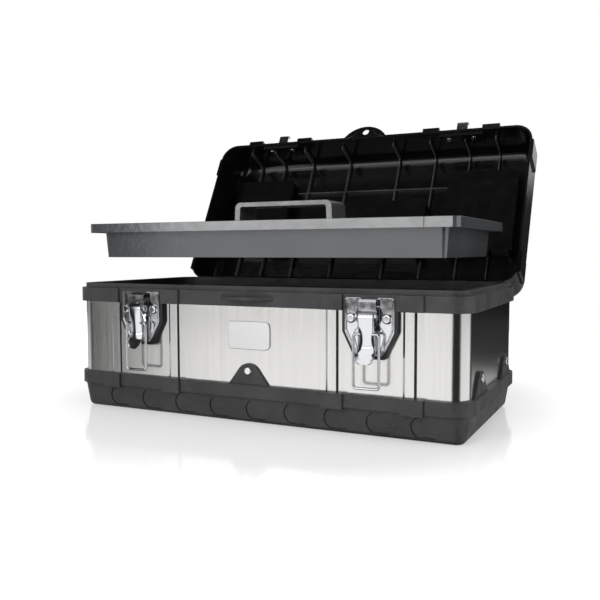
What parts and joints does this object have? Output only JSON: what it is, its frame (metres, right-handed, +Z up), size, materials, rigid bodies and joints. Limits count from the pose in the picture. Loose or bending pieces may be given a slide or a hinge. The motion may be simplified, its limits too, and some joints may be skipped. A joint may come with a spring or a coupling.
{
  "type": "tool box",
  "caption": "Moulded tool box with a brushed steel wrap, hinged lid, draw latches, lift-out tray, lid organisers and a folding carry handle.",
  "frame": {"origin": "middle of the flat underside of the base", "axes": "+X along the length to the right seen from the front, the latches face -Y, +Z up"},
  "size_m": [0.4124, 0.3534, 0.3148],
  "materials": {
    "base_plastic": "charcoal moulded plastic, fine texture",
    "stainless": "brushed upright, semi-gloss",
    "chrome": "bright chrome plate",
    "lid_plastic": "glossy black moulded plastic",
    "tray_plastic": "satin dark grey moulded plastic",
    "tray_handle_plastic": "light grey moulded plastic",
    "badge_finish": "plain satin plate with a dark border",
    "grip_rubber": "soft black rubber",
    "pad_plastic": "black moulded pad"
  },
  "bodies": {
    "box": {"base_tray": "base_plastic", "steel_front_wrap": "stainless", "steel_rear_panel": "stainless", "top_collar": "base_plastic", "front_tab_rivet": "chrome", "rear_tab_rivet": "chrome", "left_tab_rivets": "chrome", "right_tab_rivets": "chrome", "badge_plate": "badge_finish", "hinge_pin_left": "chrome", "hinge_pin_right": "chrome", "latch_spacer_left": "pad_plastic", "latch_plate_left": "chrome", "latch_rivets_left": "chrome", "latch_pin_left": "chrome", "latch_spacer_right": "pad_plastic", "latch_plate_right": "chrome", "latch_rivets_right": "chrome", "latch_pin_right": "chrome"},
    "lid": {"lid_shell": "lid_plastic", "lid_ribs": "lid_plastic", "organiser_bin_left": "lid_plastic", "organiser_bin_right": "lid_plastic", "handle_well": "lid_plastic", "lid_steel_panel": "stainless", "handle_pins": "chrome", "keeper_left": "chrome", "keeper_rivets_left": "chrome", "organiser_pins_left": "chrome", "keeper_right": "chrome", "keeper_rivets_right": "chrome", "organiser_pins_right": "chrome"},
    "lever_left": {"latch_lever_left": "chrome"},
    "lever_right": {"latch_lever_right": "chrome"},
    "bail_left": {"latch_bail_left": "chrome"},
    "bail_right": {"latch_bail_right": "chrome"},
    "cover_left": {"organiser_cover_left": "base_plastic"},
    "cover_right": {"organiser_cover_right": "base_plastic"},
    "handle": {"carry_handle": "base_plastic", "handle_grip": "grip_rubber"},
    "tray": {"tray_tub": "tray_plastic", "tray_handle": "tray_handle_plastic"}
  },
  "joints": [
    {"name": "lid_hinge", "type": "hinge", "parent": "box", "child": "lid", "pos_m": [0, 0.103, 0.1225], "axis": [-1, 0, 0], "range_deg": [-117.2, 0]},
    {"name": "tray_lift", "type": "slide", "parent": "box", "child": "tray", "axis": [0, 0, 1], "range_m": [-0.0597, 0]},
    {"name": "handle_fold", "type": "hinge", "parent": "lid", "child": "handle", "pos_m": [0, 0.19196, 0.19933], "axis": [1, 0, 0], "range_deg": [0, 90]},
    {"name": "latch_left", "type": "hinge", "parent": "box", "child": "lever_left", "pos_m": [-0.119, -0.1075, 0.105], "axis": [-1, 0, 0], "range_deg": [0, 110]},
    {"name": "bail_swing_left", "type": "hinge", "parent": "lever_left", "child": "bail_left", "pos_m": [-0.119, -0.1086, 0.09], "axis": [1, 0, 0], "range_deg": [-180, 0]},
    {"name": "organiser_left", "type": "hinge", "parent": "lid", "child": "cover_left", "pos_m": [-0.1015, 0.20459, 0.19678], "axis": [0, -0.4571, -0.8894], "range_deg": [0, 100]},
    {"name": "latch_right", "type": "hinge", "parent": "box", "child": "lever_right", "pos_m": [0.119, -0.1075, 0.105], "axis": [-1, 0, 0], "range_deg": [0, 110]},
    {"name": "bail_swing_right", "type": "hinge", "parent": "lever_right", "child": "bail_right", "pos_m": [0.119, -0.1086, 0.09], "axis": [1, 0, 0], "range_deg": [-180, 0]},
    {"name": "organiser_right", "type": "hinge", "parent": "lid", "child": "cover_right", "pos_m": [0.1015, 0.20459, 0.19678], "axis": [0, 0.4571, 0.8894], "range_deg": [0, 100]}
  ],
  "couplings": [
    {"joint": "tray_lift", "follows": "lid_hinge", "m_per_rad": 0.029185}
  ]
}
